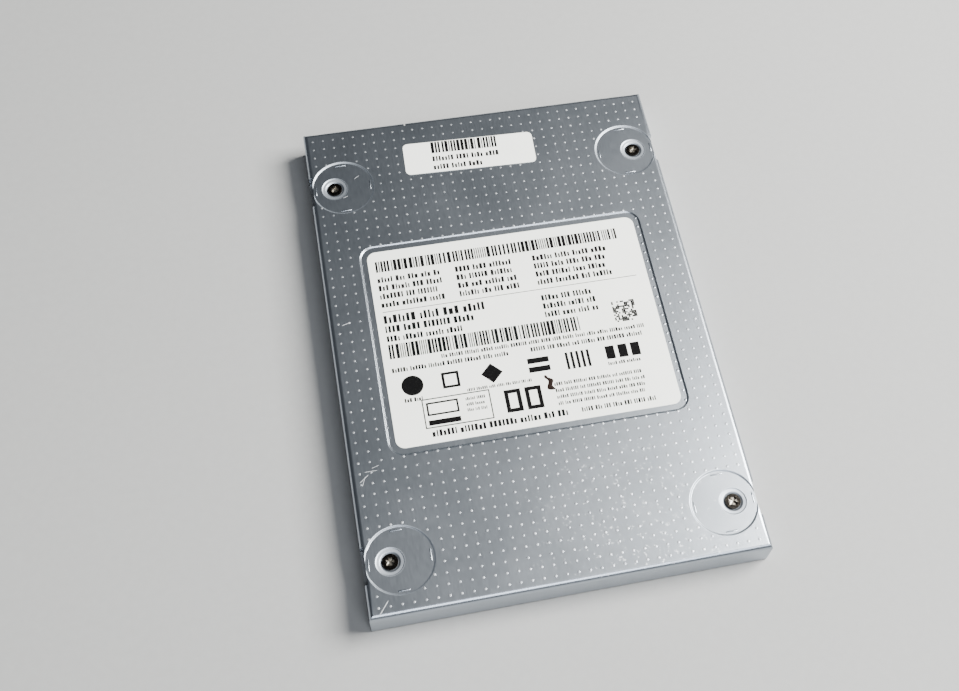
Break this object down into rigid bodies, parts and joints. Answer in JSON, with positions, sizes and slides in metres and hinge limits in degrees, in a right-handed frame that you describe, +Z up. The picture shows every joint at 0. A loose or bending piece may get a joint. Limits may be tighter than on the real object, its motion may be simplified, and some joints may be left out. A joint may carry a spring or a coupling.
{
  "type": "sata solid state drive",
  "caption": "Flat 2.5 inch solid state drive: pressed aluminium cover with label recess and round screw pads over a cast tray, with an edge plug for data and power.",
  "frame": {"origin": "middle of the underside, on the face the drive rests on", "axes": "+Z up through the label side, +Y towards the plug end, +X to the right in the picture"},
  "size_m": [0.0698, 0.1, 0.007],
  "materials": {
    "pressed_aluminium": "satin rolled sheet",
    "cast_aluminium": "fine as-cast",
    "label_film": "satin printed film",
    "screw_steel": "dark oxide",
    "board_laminate": "satin solder mask",
    "plug_plastic": "matte moulded",
    "contact_gold": "bright plated",
    "tinned_tab": "tinned",
    "chip_epoxy": "fine matte",
    "crystal_can": "plain lid",
    "soft_pad": "matte soft",
    "inductor_block": "fine matte",
    "fuse_body": "ceramic",
    "bulk_capacitor_body": "moulded",
    "ceramic_body": "fired ceramic",
    "resistor_body": "glazed"
  },
  "bodies": {
    "root": {"base_tray": "cast_aluminium", "board_screws": "screw_steel", "bulk_capacitors": "bulk_capacitor_body", "cache_memory": "chip_epoxy", "ceramic_capacitors": "ceramic_body", "chip_resistors": "resistor_body", "circuit_board": "board_laminate", "clock_crystal": "crystal_can", "connector_hold_downs": "tinned_tab", "connector_housing": "plug_plastic", "controller_chip": "chip_epoxy", "controller_pad": "soft_pad", "cover_screws": "screw_steel", "flash_package_1": "chip_epoxy", "flash_package_2": "chip_epoxy", "flash_package_3": "chip_epoxy", "flash_package_4": "chip_epoxy", "flash_package_5": "chip_epoxy", "flash_package_6": "chip_epoxy", "flash_package_7": "chip_epoxy", "flash_package_8": "chip_epoxy", "input_fuse": "fuse_body", "lower_flash_pad": "soft_pad", "main_label": "label_film", "power_contacts": "contact_gold", "power_inductors": "inductor_block", "regulator_chips": "chip_epoxy", "settings_memory": "chip_epoxy", "signal_contacts": "contact_gold", "small_label": "label_film", "top_cover": "pressed_aluminium", "upper_flash_pad": "soft_pad"}
  },
  "joints": []
}
